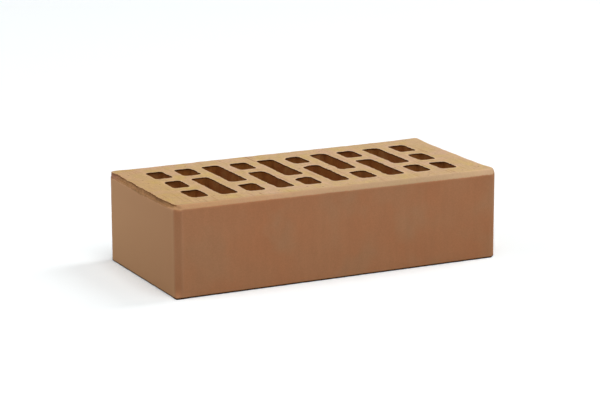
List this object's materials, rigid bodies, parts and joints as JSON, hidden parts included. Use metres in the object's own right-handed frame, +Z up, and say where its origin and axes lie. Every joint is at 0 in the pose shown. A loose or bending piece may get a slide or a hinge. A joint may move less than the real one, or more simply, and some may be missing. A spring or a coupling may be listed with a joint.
{
  "type": "perforated clay brick",
  "caption": "Rectangular fired-clay facing brick with chamfered edges and a staggered grid of upright cores right through it, laid in mortar to build walls.",
  "frame": {"origin": "centre of the lower bed, on the surface that the brick lies on", "axes": "+X along the length, +Y from the front stretcher to the back one, +Z up along the cores"},
  "size_m": [0.25, 0.12, 0.065],
  "materials": {
    "fired_clay": "matte"
  },
  "bodies": {
    "root": {"brick": "fired_clay"}
  },
  "joints": []
}
